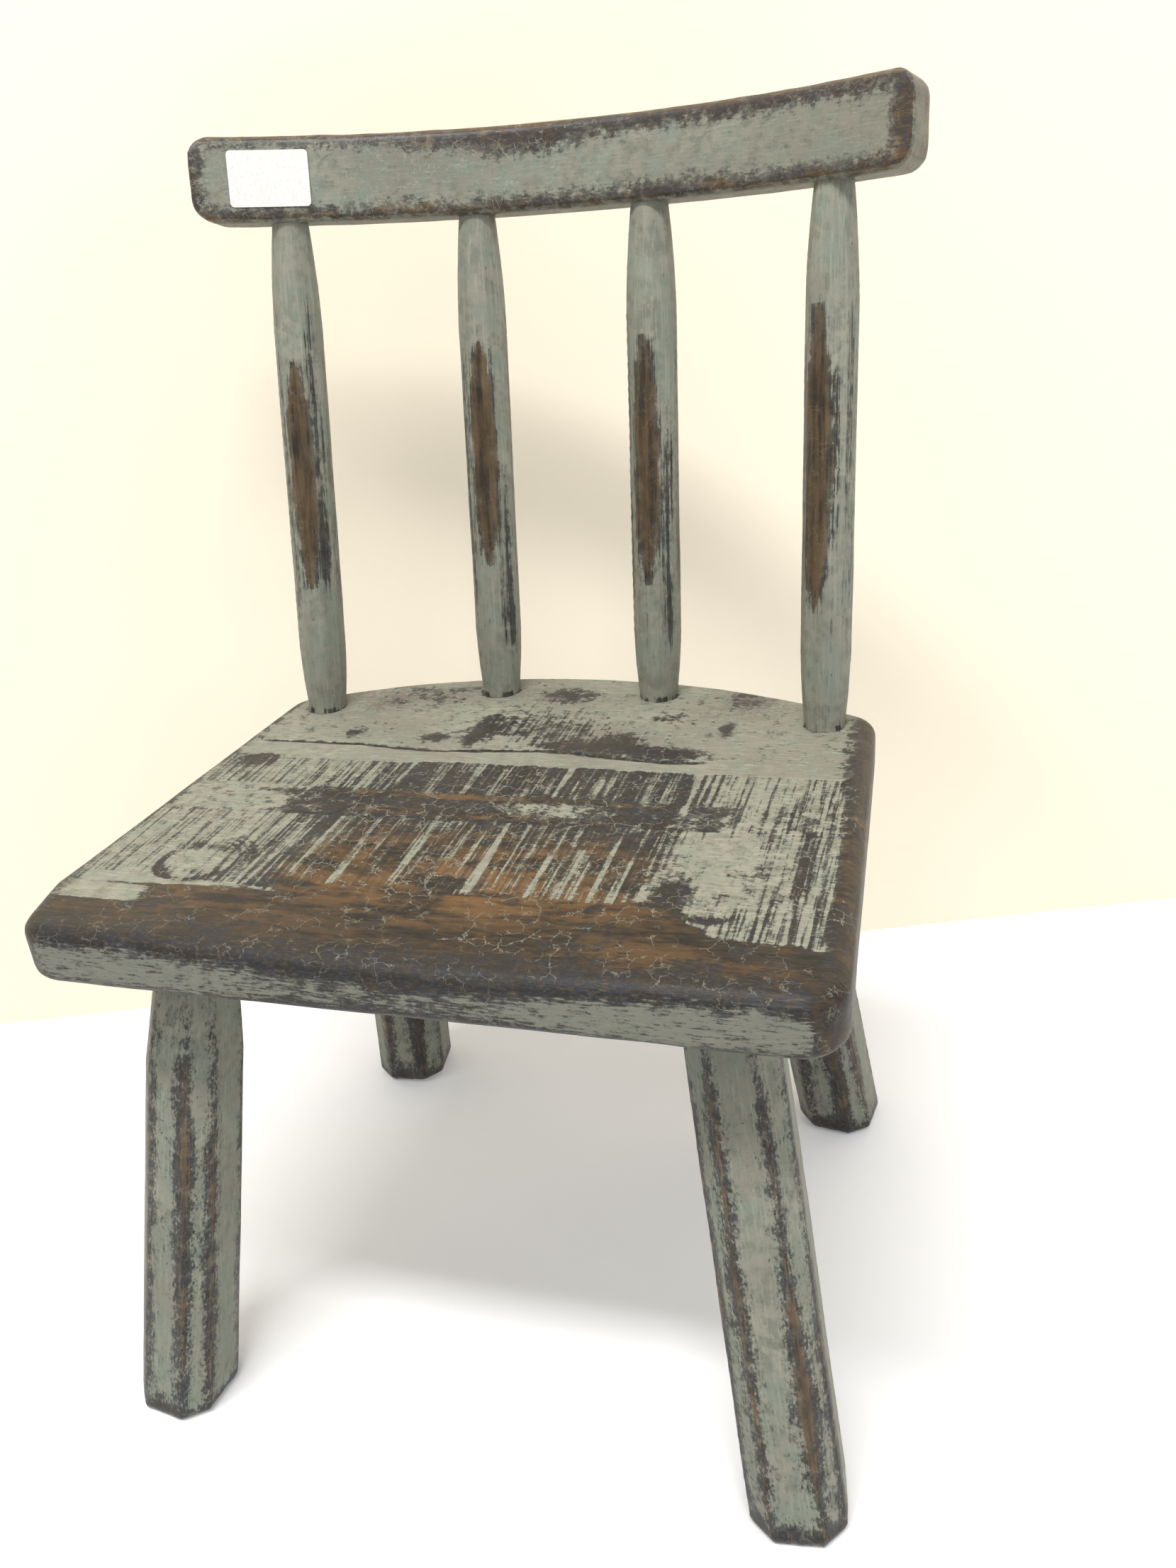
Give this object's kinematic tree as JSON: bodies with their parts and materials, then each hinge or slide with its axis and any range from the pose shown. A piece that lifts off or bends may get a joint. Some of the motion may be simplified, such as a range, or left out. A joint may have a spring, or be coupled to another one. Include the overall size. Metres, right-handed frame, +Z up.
{
  "type": "child's painted wooden chair",
  "caption": "Small wooden chair with a board seat, splayed eight-sided legs, upright spindles and a curved crest rail, in worn and peeling grey-green paint.",
  "frame": {"origin": "middle of the bounding box, on the floor", "axes": "+Z up, +X to the right as seen from the front, -Y the way the sitter faces"},
  "size_m": [0.346, 0.3304, 0.5431],
  "materials": {
    "seat_paint": "worn grey-green paint over dark paint and brown wood, chalky with rubbed edges",
    "leg_paint": "peeling grey-green paint over dark paint, brown wood along the rubbed corners",
    "spindle_paint": "streaked grey-green paint, rubbed through to dark paint and brown wood at the front",
    "rail_paint": "crazed grey-green paint inside a rubbed dark border",
    "sticker_paper": "plain white paper, slightly satin"
  },
  "bodies": {
    "root": {"seat_board_front": "seat_paint", "seat_board_middle": "seat_paint", "seat_board_back": "seat_paint", "leg_front_left": "leg_paint", "leg_front_right": "leg_paint", "leg_rear_left": "leg_paint", "leg_rear_right": "leg_paint", "spindle_1": "spindle_paint", "spindle_2": "spindle_paint", "spindle_3": "spindle_paint", "spindle_4": "spindle_paint", "crest_rail": "rail_paint", "paper_sticker": "sticker_paper"}
  },
  "joints": []
}
